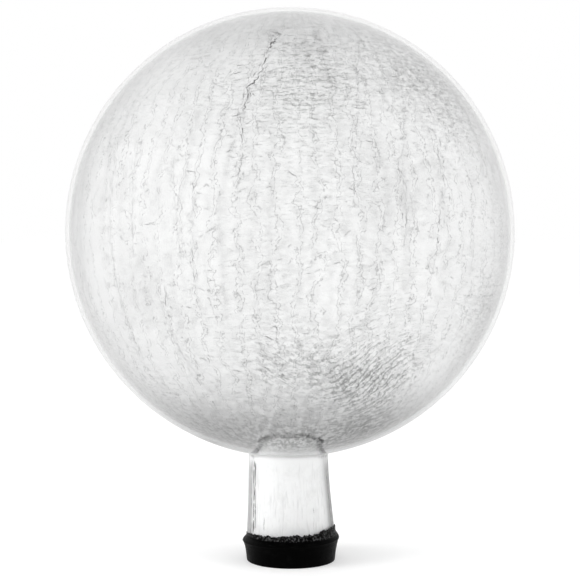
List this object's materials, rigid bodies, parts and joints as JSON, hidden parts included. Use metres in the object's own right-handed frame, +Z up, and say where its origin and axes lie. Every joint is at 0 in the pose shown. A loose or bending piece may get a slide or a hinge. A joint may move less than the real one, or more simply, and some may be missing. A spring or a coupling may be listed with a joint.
{
  "type": "garden gazing ball",
  "caption": "Hollow clear crackle-glass globe on a short flared glass neck, closed at its foot by a black rubber cap that pulls off.",
  "frame": {"origin": "on the plane of the cap's flat foot, under the middle of the globe", "axes": "+Z up, from the foot through the middle of the globe; +X to the right in the picture's view, +Y away from the viewer"},
  "size_m": [0.254, 0.254, 0.3144],
  "materials": {
    "clear_glass": "clear, smooth, fire polished",
    "crackle_glass": "clear glass with fine fissures all through it",
    "black_rubber": "satin moulded"
  },
  "bodies": {
    "globe": {"glass_globe": "clear_glass", "crackle_layer": "crackle_glass"},
    "cap": {"rubber_cap": "black_rubber"}
  },
  "joints": [
    {"name": "cap_pull", "type": "slide", "parent": "globe", "child": "cap", "axis": [0, 0, -1], "range_m": [0, 0.03]}
  ]
}
